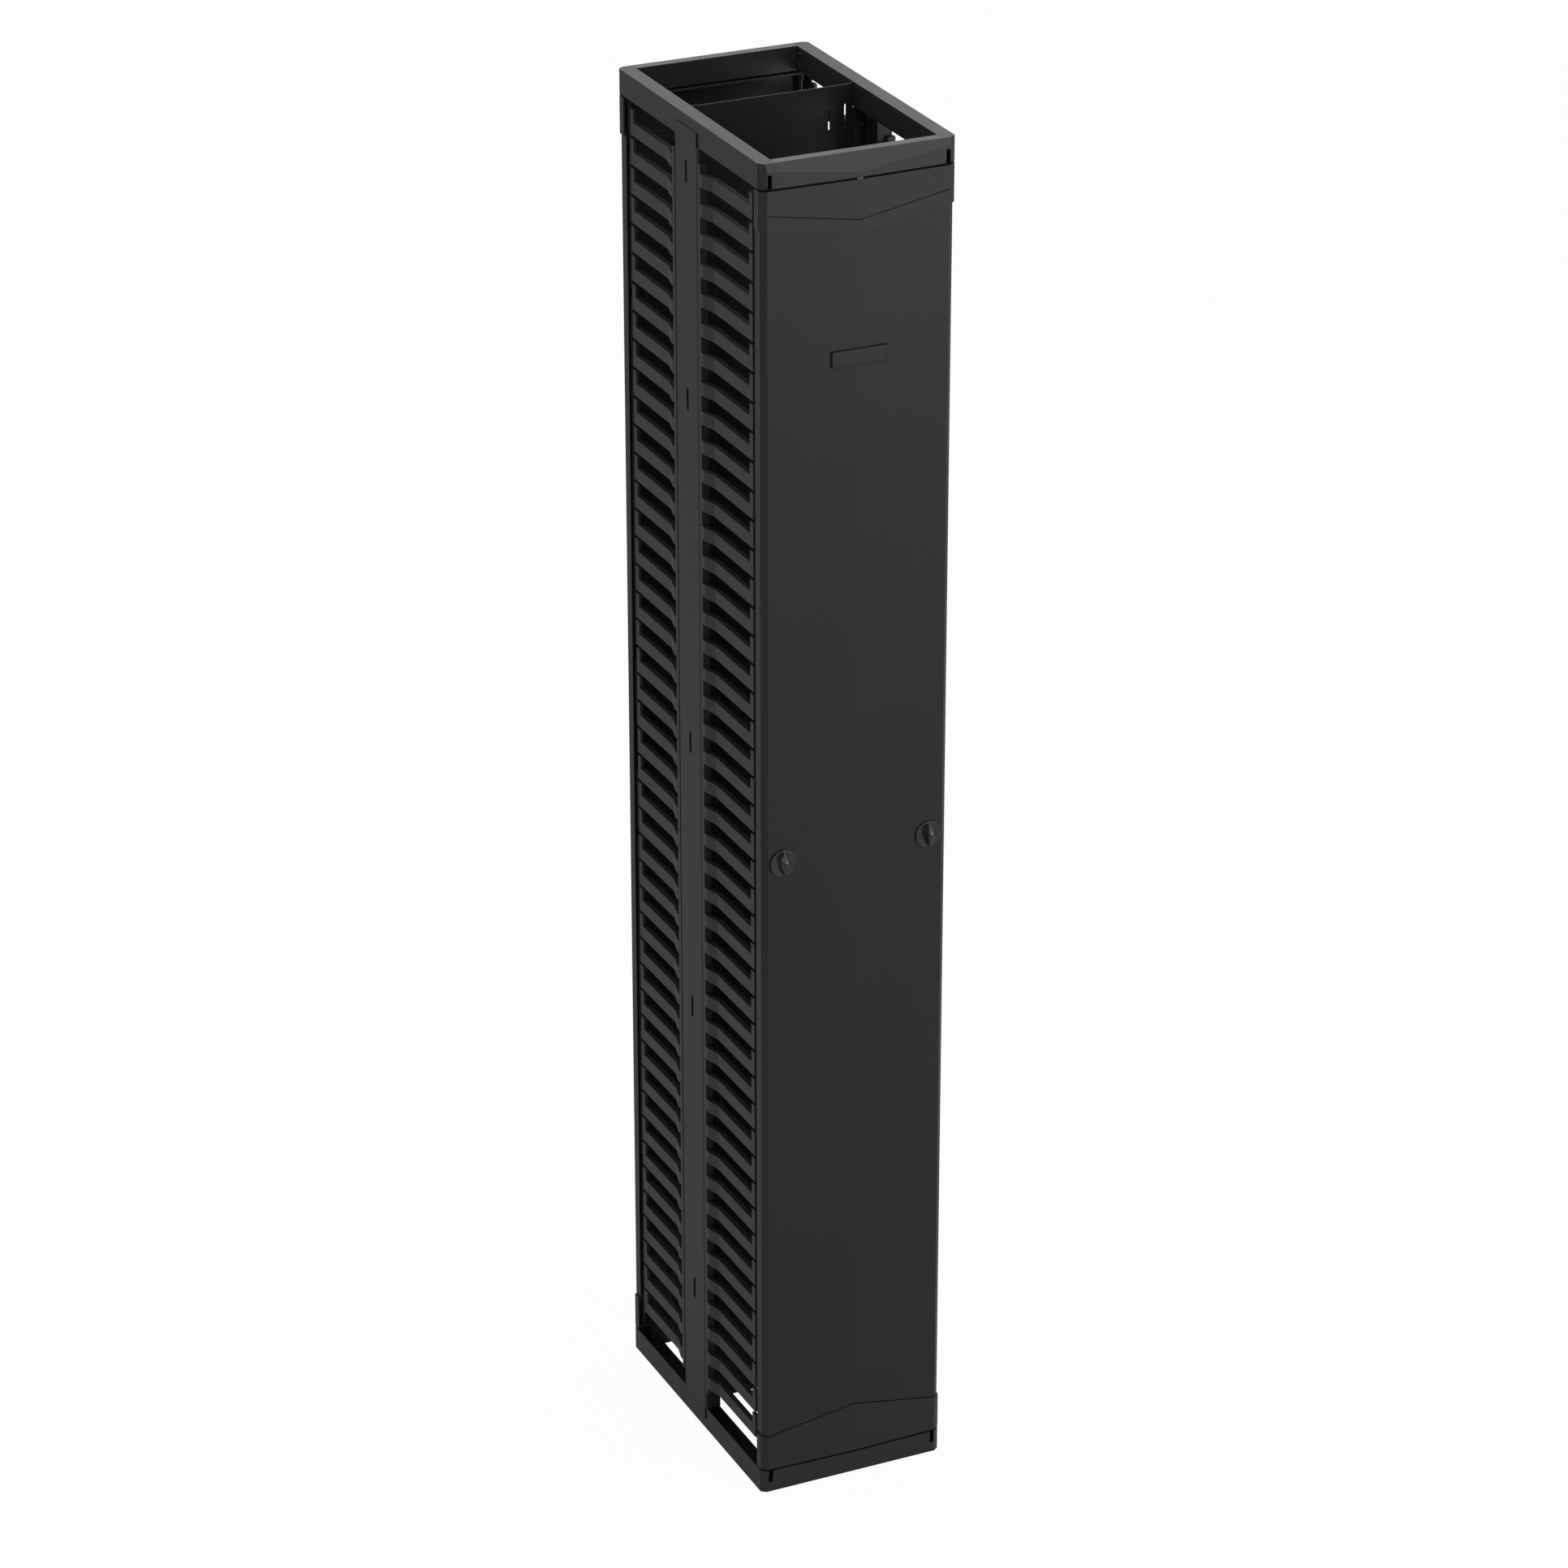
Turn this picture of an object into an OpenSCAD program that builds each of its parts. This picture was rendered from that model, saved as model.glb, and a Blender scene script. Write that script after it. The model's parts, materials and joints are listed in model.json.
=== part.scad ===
// Vertical cable manager: an open steel frame with a centre panel, rows of
// cable fingers on both sides, and a dual-hinged door front and rear.
// Millimetres. X is the width, the front faces -Y, Z is up, and the origin
// lies on the floor under the middle of the frame.

/* [Frame] */
// Overall height of the frame
frame_h = 2127; // [1900:1:2400]
// Width over the side beams
frame_w = 301.4; // [300:0.2:500]
// Height of the top and base beams
beam_h = 37; // [34:0.5:60]
// Width of the top side beams, seen from above
beam_w = 22.7; // [21.7:0.5:27.7]
// Inward reach of the floor flange on the base beams
floor_flange = 45.7; // [41.7:0.5:70]
// Sheet thickness of beams, posts and centre panel
frame_t = 1.9; // [1.5:0.1:2.5]
// Radius of the floor anchor holes
anchor_r = 6; // [4:0.5:8]
// Distance between the anchor holes along Y
anchor_span_y = 300; // [200:5:360]
// Distance from the outer face of a base beam to its anchor holes
anchor_inset = 17; // [14:0.5:30]

/* [Prow faces] */
// Distance from the middle of the frame to the crease of a prow face
half_depth = 249.6; // [235:0.2:300]
// How far the prow face falls back from its crease to its corners
prow_drop = 3.2; // [1:0.1:5]
// Width of the angled corner facets, along X
corner_w = 10.3; // [8.3:0.5:12.3]
// Depth of the angled corner facets, along Y
corner_d = 7.8; // [5:0.1:9]
// Distance that the bevel leans in over the height of a beam
bevel_lean = 6.4; // [5:0.1:7]
// Wall of the moulded fascias
fascia_t = 2.4; // [2:0.1:3]
// Joint between the ends of the beams and the shoulders of the fascias
shoulder_gap = 0.8; // [0.3:0.1:1.5]
// Width of the flat strip along the inner edge of a fascia
strip_in = 21; // [19:0.5:24]

/* [Posts and centre panel] */
// Width of the posts, along Y
post_w = 80; // [76:1:120]
// Depth of the post flanges, along X
post_d = 24.6; // [20:0.2:30]
// Outer bend radius of the posts
post_bend = 4.5; // [3:0.1:5]
// How far the posts lap over the beams
post_lap = 20; // [14:0.5:24]
// Width of the relief slits beside the lapped tongues
relief_w = 2.7; // [2:0.1:4]
// Width of the mounting slots in the posts
post_slot_w = 7; // [5:0.5:9]
// Length of the mounting slots in the posts
post_slot_l = 36; // [24:1:50]
// Height of the lowest mounting slot above the floor
slot_low = 234.5; // [160:0.5:300]
// Height of the second mounting slot above the floor
slot_second = 723; // [600:1:780]
// Height of the middle mounting slot above mid-height
slot_mid = 97.5; // [-60:0.5:120]
// Distance of the fourth mounting slot below the top
slot_fourth = 426; // [360:1:480]
// Distance of the highest mounting slot below the top
slot_high = 83; // [76:0.5:120]
// Clearance between the centre panel and the frame
panel_gap = 0.3; // [0.2:0.1:0.5]
// Width of the side laps of the centre panel
panel_lap = 21; // [16:0.5:22]
// Distance from the beams to the end screws of the centre panel
screw_end = 60; // [40:1:100]
// Width of the tie slots in the centre panel
tie_slot_w = 3; // [3:0.5:6]
// Length of the tie slots in the centre panel
tie_slot_l = 36; // [20:1:50]
// Distance from the top of the frame to the middle of the highest tie slots
tie_drop = 49; // [30:1:100]
// Height kept clear of tie slots above the base beams
tie_clear = 250; // [60:10:400]
// Distance between the two tie slots of a pair
tie_pair = 25.5; // [15:0.5:40]
// Distance of the outer tie slots from the edge of the flat panel
tie_edge = 3; // [3:0.5:10]

/* [Cable fingers] */
// Finger pitch, one rack unit
finger_pitch = 44.45; // [40:0.05:60]
// Height of a finger bar
finger_h = 20; // [16:0.5:24]
// Depth of a finger, along X
finger_d = 8.5; // [7:0.1:10]
// Floor of the finger mouldings
finger_t = 2.4; // [2:0.1:4]
// Side walls of the finger mouldings
finger_wall = 1.8; // [1.5:0.1:2.4]
// Gap above a finger tab
finger_gap = 5.2; // [3:0.1:8]
// Width of a finger tab, along Y
tab_w = 11; // [8:0.5:16]
// Depth of a finger tab, along X
tab_d = 5; // [4:0.1:6]
// Height of the lowest finger above the base beams
finger_lift = 43; // [30:0.5:60]
// How far the finger bars step in from the post face
finger_step = 6.3; // [4:0.1:9]
// Length of the straight finger root
root_l = 7.8; // [6:0.1:10]
// Length of the slanted finger root
slant_l = 23; // [16:0.5:30]
// Distance from the middle of the frame to the finger tips
tip_y = 210.5; // [170:0.5:210.5]
// Width of the finger rails, along Y
rail_w = 8; // [7:0.1:10]
// Depth of the finger rails, along X
rail_d = 11.4; // [10:0.1:13]
// Length of the finger spigots in the rails
spigot_l = 5; // [4:0.1:6]
// Clearance around the finger spigots
spigot_gap = 0.1; // [0.05:0.05:0.2]

/* [Doors] */
// Gap between a door and the beams above and below it
door_gap = 3.3; // [2.3:0.1:4]
// How far the door panel is set in at each side from the caps
cap_proud = 2.5; // [1:0.1:3.5]
// Sheet thickness of the door panels
door_t = 1.5; // [1:0.1:2]
// Depth of the side returns of the door panels, from the corner facets
door_return = 16.5; // [12:0.5:18]
// Depth of the side walls of the door caps, from the corner facets
cap_return = 13.5; // [10:0.5:16]
// Wall of the moulded door caps
cap_t = 2.5; // [2:0.1:3]
// Height of the door caps at the sides
cap_side_h = 57; // [45:1:90]
// Height of the door caps at the crease
cap_mid_h = 82; // [60:1:120]
// Height of the styling line at the sides of a cap
groove_side_h = 34.5; // [20:1:40]
// Height of the styling line at the crease
groove_mid_h = 58; // [44:1:65]
// Width of the line in the top caps
groove_w = 1.2; // [0.4:0.1:1.6]
// Depth of the line in the top caps
groove_d = 1; // [0.3:0.1:1.4]
// Width of the line in the bottom caps
low_groove_w = 0.5; // [0.4:0.1:1.6]
// Depth of the line in the bottom caps
low_groove_d = 0.3; // [0.2:0.1:1.4]
// Closed joint between a door panel and its top cap
seam = 0.1; // [0.1:0.1:1]
// Open joint between a door panel and its bottom cap
low_seam = 2; // [0.1:0.1:3]
// How far the cap tongues reach into the door panels
tongue_l = 14; // [8:1:20]
// Width of the centre stop on the door caps
stop_w = 9; // [6:0.5:14]
// Width of the blank badge plate
badge_w = 87; // [60:1:120]
// Height of the blank badge plate
badge_h = 24; // [18:0.5:40]
// Distance from the top of the door to the middle of the badge plate
badge_drop = 259; // [150:0.5:400]
// Thickness of the badge plate, backing and face together
badge_t = 2; // [1.5:0.1:3]

/* [Pins and latches] */
// Distance from the outer face of the frame in to the door pins, along X
pin_inset = 13.7; // [12.7:0.1:14.7]
// Distance from the prow corner back to the door pins, along Y
pin_back = 10.4; // [10:0.1:11]
// Radius of the door pins and rods
rod_r = 3.5; // [3:0.1:3.8]
// Radial clearance of the rods in their guides and sockets
rod_gap = 0.1; // [0.05:0.01:0.1]
// Depth of the open pin slots in the fascias
pin_slot_h = 20.5; // [16:0.5:22]
// Side clearance of a pin in its slot
pin_slot_gap = 0.5; // [0.3:0.1:1]
// How far a pin reaches past its slot into the socket bore
pin_bite = 8; // [6:0.5:9]
// Length of the socket bore
socket_l = 11; // [10:0.5:12]
// Distance from the ends of a door to its outer rod guides
guide_end = 300; // [200:5:400]
// Distance from mid-height to the inner rod guides
guide_mid = 150; // [100:5:200]
// Pitch radius of the latch pinions
pinion_r = 8; // [7.5:0.1:8.5]
// Number of pinion teeth
pinion_teeth = 10; // [10:1:12]
// Thickness of pinions and racks
gear_t = 6; // [5:0.5:7]
// Play between the teeth
gear_play = 0.25; // [0.15:0.05:0.4]
// Distance from the knob axis out to the door pins, along X
knob_in = 20; // [19:0.5:22]
// Radius of the knobs
knob_r = 20.5; // [16:0.5:22]
// Thickness of the knob discs
knob_disc_t = 3; // [2:0.5:5]
// Height of the grip on the knobs
grip_h = 12; // [8:0.5:18]
// Width of the grip on the knobs
grip_w = 17; // [12:0.5:20]
// Width of the grip along its crest
grip_crest = 8; // [5:0.5:11]
// Radius of the knob shafts
shaft_r = 5; // [4:0.1:5.5]
// Turn of the knobs from latched to released, in degrees
knob_turn = 90; // [60:1:90]

/* [Hidden] */
$fn = 48;

// Frame planes
half_w = frame_w / 2;
beam_in = half_w - beam_w;
window_lo = beam_h;
window_hi = frame_h - beam_h;
corner_x = half_w - corner_w;
corner_y = half_depth - prow_drop;
side_end = corner_y - corner_d;
strip_y = half_depth - strip_in;
bevel_y = corner_y - 1.9;
bevel_slope = bevel_lean / beam_h;
cut = 1;
seat = 0.3;
beam_end = side_end + seat - shoulder_gap;

// Posts and panel
post_face = half_w + frame_t;
post_half = post_w / 2;
tongue_half = post_half - post_bend - 0.3;
panel_lo = frame_t + panel_gap;
panel_hi = frame_h - frame_t;
panel_y = post_half - frame_t;
lap_x = post_face - rail_d - 1;
flat_x = lap_x - panel_lap - frame_t;

// Fingers
finger_z0 = window_lo + finger_lift;
finger_rows = floor((window_hi - finger_z0 - 2) / finger_pitch);
rail_over = 12;
rail_lo = finger_z0 - rail_over;
rail_hi = finger_z0 + (finger_rows - 1) * finger_pitch + finger_h + rail_over;
root_y = post_half + rail_w;

// Doors
door_lo = window_lo + door_gap;
door_hi = window_hi - door_gap;
door_mid = (door_lo + door_hi) / 2;
door_half = half_w - cap_proud;

// Pins and latches
pin_x = half_w - pin_inset;
pin_y = corner_y - pin_back;
knob_x = pin_x - knob_in;
slot_w = 2 * (rod_r + pin_slot_gap);
rod_travel = pinion_r * knob_turn * PI / 180;
bite = min(pin_bite, rod_travel - 4);
module_mm = 2 * pinion_r / pinion_teeth;
tip_add = 0.8 * module_mm;
root_ded = 1.05 * module_mm;
gear_y = pin_y;
screw_r = 2;
screw_head_r = 3.6;
screw_head_h = 2.2;

// ---------- outlines ----------

function unit(v) = v / norm(v);
function left_normal(d) = unit([-d[1], d[0]]);
function inset_vertex(v, n1, n2, i) = v - i * (n1 + n2) / (1 + n1 * n2);

// Right half of a front prow outline: side, corner facet, crease
function prow_half(hw, i, y_in) =
    let (b = [hw, -side_end], c = [corner_x, -corner_y], d = [0, -half_depth],
         n1 = [1, 0], n2 = left_normal(c - b), n3 = left_normal(d - c), n4 = [-n3[0], n3[1]])
    [[hw - i, -y_in], inset_vertex(b, n1, n2, i), inset_vertex(c, n2, n3, i),
     inset_vertex(d, n3, n4, i)];

function prow_outline(hw, i, y_in) =
    let (h = prow_half(hw, i, y_in))
    concat(h, [for (k = [2:-1:0]) [-h[k][0], h[k][1]]]);

// Front face of the prow at a distance x from the crease
function prow_y(x) = half_depth - prow_drop * abs(x) / corner_x;

module prow_slab(hw, i, y_in, z0, z1) {
    translate([0, 0, z0])
        linear_extrude(z1 - z0)
            polygon(prow_outline(hw, i, y_in));
}

// A slab with parallel V-shaped edges: side_z beyond the corners, mid_z at the crease
module v_band(side_lo, mid_lo, side_hi, mid_hi) {
    wide = frame_w;
    rotate([90, 0, 0])
        linear_extrude(half_depth * 2)
            polygon([[-wide, side_lo], [-corner_x, side_lo], [0, mid_lo], [corner_x, side_lo],
                     [wide, side_lo], [wide, side_hi], [corner_x, side_hi], [0, mid_hi],
                     [-corner_x, side_hi], [-wide, side_hi]]);
}

// Turns front parts into rear parts
module at_end(end) {
    rotate([0, 0, end == "rear" ? 180 : 0])
        children();
}

// Turns base parts into top parts
module at_top() {
    translate([0, 0, frame_h])
        mirror([0, 0, 1])
            children();
}

module at_side(side) {
    mirror([side == "left" ? 1 : 0, 0, 0])
        children();
}

module box(lo, hi) {
    translate(lo)
        cube(hi - lo);
}

// ---------- frame ----------

// Inverted channel along the right of the frame top
module top_beam() {
    difference() {
        box([beam_in, -beam_end, window_hi], [half_w, beam_end, frame_h]);
        box([beam_in + frame_t, -side_end - cut, window_hi - cut],
            [half_w - frame_t, side_end + cut, frame_h - frame_t]);
        relief_slits(window_hi - cut, window_hi + post_lap);
        for (end = ["front", "rear"], z = [-1, 1])
            at_end(end)
                fascia_screw_axis(z * 8)
                    cylinder(h = 6 * frame_t, r = screw_r + 0.1, center = true);
    }
}

// Angle along the right of the frame base, with its anchor holes
module base_beam() {
    difference() {
        box([half_w - floor_flange, -beam_end, 0], [half_w, beam_end, window_lo]);
        box([half_w - floor_flange - cut, -side_end - cut, frame_t],
            [half_w - frame_t, side_end + cut, window_lo + cut]);
        relief_slits(window_lo - post_lap, window_lo + cut);
        for (y = [-1, 1])
            translate([half_w - anchor_inset, y * anchor_span_y / 2, -cut])
                cylinder(h = frame_t + 2 * cut, r = anchor_r);
        for (end = [-1, 1], k = [0, 1])
            translate([base_screw_x(k), end * fascia_screw_y(), -cut])
                cylinder(h = frame_t + 2 * cut, r = screw_r + 0.1);
    }
}

module relief_slits(z0, z1) {
    for (side = [-1, 1])
        box([half_w - frame_t - cut, side * (tongue_half + relief_w / 2) - relief_w / 2, z0],
            [half_w + cut, side * (tongue_half + relief_w / 2) + relief_w / 2, z1]);
}

// Screws between the top fascias and the inner walls of the top beams
module fascia_screw_axis(dz) {
    for (side = ["left", "right"])
        at_side(side)
            translate([beam_in + frame_t / 2, -fascia_screw_y(), window_hi + beam_h / 2 + dz])
                rotate([0, 90, 0])
                    children();
}

function base_screw_x(k) = half_w - floor_flange + 7 + 10 * k;
function fascia_screw_y() = strip_y - 9;

// Leaning cut that bevels the outer edge of a base fascia
module bevel_keep(i) {
    rotate([90, 0, 90])
        translate([0, 0, -frame_w])
            linear_extrude(2 * frame_w)
                polygon([[-bevel_y + i + bevel_slope * cut, -cut],
                         [-bevel_y + i - bevel_slope * (beam_h + cut), beam_h + cut],
                         [0, beam_h + cut], [0, -cut]]);
}

// Faceted front fascia of the base: an upward-open moulding with open pin slots
module fascia() {
    difference() {
        intersection() {
            union() {
                intersection() {
                    prow_slab(half_w, 0, side_end - cut, 0, beam_h);
                    box([-half_w, -half_depth, 0], [half_w, -side_end - seat, beam_h]);
                }
                box([-beam_in + seat, -side_end - 1, 0], [beam_in - seat, -strip_y, beam_h]);
            }
            bevel_keep(0);
        }
        intersection() {
            union() {
                prow_slab(half_w, fascia_t, side_end - cut, fascia_t, beam_h + cut);
                box([-beam_in + seat + fascia_t, -side_end - 1, fascia_t],
                    [beam_in - seat - fascia_t, -strip_y - fascia_t, beam_h + cut]);
            }
            bevel_keep(fascia_t);
        }
        for (side = ["left", "right"])
            at_side(side)
                pin_slot();
    }
}

// Open slot for a swinging pin, rounded at its closed end
module pin_slot() {
    translate([pin_x, -half_depth - cut, beam_h - pin_slot_h + slot_w / 2])
        rotate([-90, 0, 0])
            cylinder(h = 2 * fascia_t + prow_drop + bevel_lean, r = slot_w / 2);
    box([pin_x - slot_w / 2, -half_depth - cut, beam_h - pin_slot_h + slot_w / 2],
        [pin_x + slot_w / 2, -half_depth - cut + 2 * fascia_t + prow_drop + bevel_lean, beam_h + cut]);
}

// Tongues of the top fascia inside the hollow top beams
module top_fascia() {
    difference() {
        union() {
            at_top() fascia();
            for (side = ["left", "right"])
                at_side(side) {
                    box([beam_in + frame_t, -side_end - 2, window_hi + 3],
                        [beam_in + 2 * frame_t, -fascia_screw_y() + 7, frame_h - frame_t - seat]);
                    box([beam_in + frame_t, -side_end - 4, window_hi + 3],
                        [beam_in + 2 * frame_t, -side_end - 1.9, frame_h - frame_t + 0.2]);
                }
        }
        for (z = [-1, 1])
            fascia_screw_axis(z * 8)
                cylinder(h = 6 * frame_t, r = screw_r + 0.1, center = true);
    }
}

// Tongues of the base fascia on the floor flanges of the base beams
module base_fascia() {
    difference() {
        union() {
            difference() {
                fascia();
                for (side = ["left", "right"])
                    at_side(side)
                        box([half_w - floor_flange - seat, -side_end - seat, -cut],
                            [half_w, -side_end + corner_w + strip_in, frame_t]);
            }
            for (side = ["left", "right"])
                at_side(side)
                    box([half_w - floor_flange + 1, -side_end - 3, frame_t],
                        [pin_x - 9, -fascia_screw_y() + 7, 2 * frame_t]);
        }
        for (side = ["left", "right"], k = [0, 1])
            at_side(side)
                translate([base_screw_x(k), -fascia_screw_y(), -cut])
                    cylinder(h = 3 * frame_t + cut, r = screw_r + 0.1);
    }
}

// ---------- posts and centre panel ----------

module channel_plan(w, r) {
    translate([post_face - post_d, -w / 2])
        square([post_d - r, w]);
    translate([post_face - post_d + 1, -w / 2 + r])
        square([post_d - 1, w - 2 * r]);
    for (side = [-1, 1])
        translate([post_face - r, side * (w / 2 - r)])
            circle(r);
}

// Channel post on the right, lapped over both beams by its flat web
module post() {
    difference() {
        union() {
            translate([0, 0, window_lo + seat])
                linear_extrude(window_hi - window_lo - 2 * seat)
                    channel_plan(post_w, post_bend);
            box([half_w, -tongue_half, window_lo - post_lap + 0.5],
                [post_face, tongue_half, window_hi + post_lap - 0.5]);
        }
        translate([-frame_t, 0, window_lo])
            linear_extrude(window_hi - window_lo)
                channel_plan(post_w - 2 * frame_t, post_bend - frame_t);
        for (z = post_slots())
            translate([half_w - cut, 0, z])
                slot_cut(post_slot_w, post_slot_l, frame_t + 2 * cut);
        for (z = panel_screw_heights())
            translate([panel_screw_x(), post_half - frame_t / 2, z])
                screw_hole();
        for (side = [-1, 1], z = rail_screw_heights())
            translate([rail_screw_x(), side * (post_half - frame_t / 2), z])
                screw_hole();
    }
}

function post_slots() = [slot_low, slot_second, frame_h / 2 + slot_mid, frame_h - slot_fourth,
                         frame_h - slot_high];

module slot_cut(w, l, depth) {
    for (s = [-1, 1])
        translate([0, 0, s * (l - w) / 2])
            rotate([0, 90, 0])
                cylinder(h = depth, r = w / 2);
    box([0, -w / 2, -(l - w) / 2], [depth, w / 2, (l - w) / 2]);
}

module screw_hole() {
    rotate([90, 0, 0])
        cylinder(h = 4 * frame_t, r = screw_r + 0.1, center = true);
}

function panel_screw_x() = lap_x - 5.5;
function panel_screw_heights() =
    [for (k = [0:5]) window_lo + screw_end + k * (window_hi - window_lo - 2 * screw_end) / 5];
function rail_screw_x() = post_face - rail_d + screw_r + 1.2;
function rail_screw_heights() =
    [for (k = [0:5]) finger_z0 + finger_h + 6.5 + round(k * (finger_rows - 1) / 5) * finger_pitch];

// Full-width divider with joggled side laps and paired tie slots
module centre_panel() {
    y0 = panel_y;
    y1 = post_half;
    y2 = post_half + frame_t;
    half_plan = [[flat_x, y0], [flat_x + frame_t, y1], [lap_x, y1], [lap_x, y2],
                 [flat_x + frame_t - 0.8, y2], [flat_x - 0.8, y1]];
    color([0.10, 0.10, 0.11])
        difference() {
            translate([0, 0, panel_lo])
                linear_extrude(panel_hi - panel_lo)
                    polygon(concat(half_plan,
                                   [for (k = [len(half_plan) - 1:-1:0]) [-half_plan[k][0], half_plan[k][1]]]));
            for (side = ["left", "right"])
                at_side(side) {
                    box([beam_in - 0.7, y0 - cut, window_hi - 1.5], [half_w, y2 + cut, frame_h]);
                    for (z = panel_screw_heights())
                        translate([panel_screw_x(), post_half + frame_t / 2, z])
                            screw_hole();
                    for (x = [0, tie_pair], z = tie_heights())
                        translate([flat_x - tie_edge - x, y0 - cut, z])
                            rotate([0, 0, 90])
                                slot_cut(tie_slot_w, tie_slot_l, frame_t + 2 * cut);
                }
        }
}

function tie_heights() =
    let (top = frame_h - tie_drop, step = 5 * finger_pitch,
         n = floor((top - beam_h - tie_clear) / step))
    [for (k = [0:n]) top - k * step];

// ---------- fingers ----------

function finger_plan(i) =
    let (x0 = post_face - i, x1 = post_face - finger_d + i, s = finger_step,
         y0 = root_y, y1 = root_y + root_l, y2 = y1 + slant_l, y3 = tip_y - i,
         k = i * s / slant_l)
    [[x0, y0 + i], [x0, y1 - k / 2], [x0 - s, y2 - k / 2], [x0 - s, y3], [x1 - s, y3],
     [x1 - s, y2 + k / 2], [x1, y1 + k / 2], [x1, y0 + i]];

// One L-shaped finger of the right rear row: a bar cored from below, with a tab
// at its tip and a spigot for the rail
module finger() {
    finger_face = post_face - finger_step;
    difference() {
        linear_extrude(finger_h)
            polygon(finger_plan(0));
        difference() {
            translate([0, 0, -finger_t])
                linear_extrude(finger_h)
                    polygon(finger_plan(finger_wall));
            box([0, root_y, -finger_t], [post_face, root_y + finger_t, finger_h]);
        }
    }
    box([finger_face - tab_d, tip_y - tab_w, finger_h - 0.01],
        [finger_face, tip_y, finger_pitch - finger_gap]);
    box([spigot_x0(), root_y - spigot_l, spigot_z()],
        [spigot_x0() + 4, root_y + 0.01, finger_h - spigot_z()]);
}

function spigot_x0() = post_face - finger_d + 1.5;
function spigot_z() = 4;

module finger_row() {
    for (k = [0:finger_rows - 1])
        translate([0, 0, finger_z0 + k * finger_pitch])
            finger();
}

// Rail that carries the right rear row of fingers on the post flange
module finger_rail() {
    difference() {
        box([post_face - rail_d, post_half, rail_lo], [post_face, root_y - 0.02, rail_hi]);
        for (k = [0:finger_rows - 1])
            translate([0, 0, finger_z0 + k * finger_pitch])
                box([spigot_x0() - spigot_gap, root_y - spigot_l - spigot_gap, spigot_z() - spigot_gap],
                    [spigot_x0() + 4 + spigot_gap, root_y + cut, finger_h - spigot_z() + spigot_gap]);
        for (z = rail_screw_heights())
            translate([rail_screw_x(), post_half - cut, z])
                rotate([-90, 0, 0])
                    cylinder(h = 7.2, r = screw_r + 0.1);
    }
}

module in_row(side, end) {
    mirror([side == "left" ? 1 : 0, 0, 0])
        mirror([0, end == "front" ? 1 : 0, 0])
            children();
}

// ---------- screws ----------

// Button-head screw, head on +Z, shank reaching down by l
module screw(l) {
    difference() {
        union() {
            cylinder(h = screw_head_h, r1 = screw_head_r, r2 = screw_head_r * 0.6, $fn = 24);
            translate([0, 0, -l])
                cylinder(h = l + 0.01, r = screw_r, $fn = 24);
        }
        translate([0, 0, screw_head_h - 1.2])
            cylinder(h = 2, r = 1.3, $fn = 6);
    }
}

module fascia_screws() {
    color("dimgray") {
        for (end = ["front", "rear"], z = [-1, 1])
            at_end(end)
                for (side = ["left", "right"])
                    at_side(side)
                        translate([beam_in, -fascia_screw_y(), window_hi + beam_h / 2 + z * 8])
                            rotate([0, -90, 0])
                                screw(2 * frame_t);
        for (end = ["front", "rear"], side = ["left", "right"], k = [0, 1])
            at_end(end)
                at_side(side)
                    translate([base_screw_x(k), -fascia_screw_y(), 2 * frame_t])
                        screw(2 * frame_t - seat);
    }
}

module panel_screws() {
    color("dimgray")
        for (side = ["left", "right"], z = panel_screw_heights())
            at_side(side)
                translate([panel_screw_x(), post_half + frame_t, z])
                    rotate([-90, 0, 0])
                        screw(2 * frame_t);
}

module rail_screws() {
    color("dimgray")
        for (side = ["left", "right"], end = ["front", "rear"], z = rail_screw_heights())
            in_row(side, end)
                translate([rail_screw_x(), post_half - frame_t, z])
                    rotate([90, 0, 0])
                        screw(frame_t + 5.5);
}

// ---------- pin sockets ----------

// Block inside a base corner: open slot above, closed bore below
module pin_socket() {
    bore_top = beam_h - pin_slot_h;
    difference() {
        intersection() {
            prow_slab(half_w, fascia_t + 0.1, 0, fascia_t + 0.1, beam_h);
            bevel_keep(fascia_t + 0.2);
            box([beam_in + 2 * frame_t + 0.2, -half_depth, 0], [pin_x + 8.5, -pin_y + 8, beam_h]);
        }
        translate([pin_x, -pin_y, bore_top - socket_l])
            cylinder(h = beam_h, r = rod_r + rod_gap);
        box([pin_x - slot_w / 2, -half_depth, bore_top], [pin_x + slot_w / 2, -pin_y, beam_h + cut]);
        translate([pin_x, -pin_y, bore_top])
            cylinder(h = beam_h, r = slot_w / 2);
    }
}

module pin_sockets() {
    for (end = ["front", "rear"], side = ["left", "right"])
        at_end(end)
            at_side(side)
                pin_socket();
}

// ---------- door ----------

module door_panel() {
    cap_end = cap_side_h;
    cap_v = cap_mid_h;
    color([0.16, 0.16, 0.17])
        difference() {
            intersection() {
                difference() {
                    prow_slab(door_half, 0, side_end - door_return, door_lo, door_hi);
                    prow_slab(door_half, door_t, side_end - door_return - cut, door_lo - cut, door_hi + cut);
                }
                v_band(door_lo + cap_end + low_seam, door_lo + cap_v + low_seam,
                       door_hi - cap_end - seam, door_hi - cap_v - seam);
            }
            for (side = ["left", "right"])
                at_side(side)
                    translate([knob_x, -half_depth - cut, door_mid])
                        rotate([-90, 0, 0])
                            cylinder(h = 14, r = shaft_r + rod_gap);
        }
}

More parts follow.
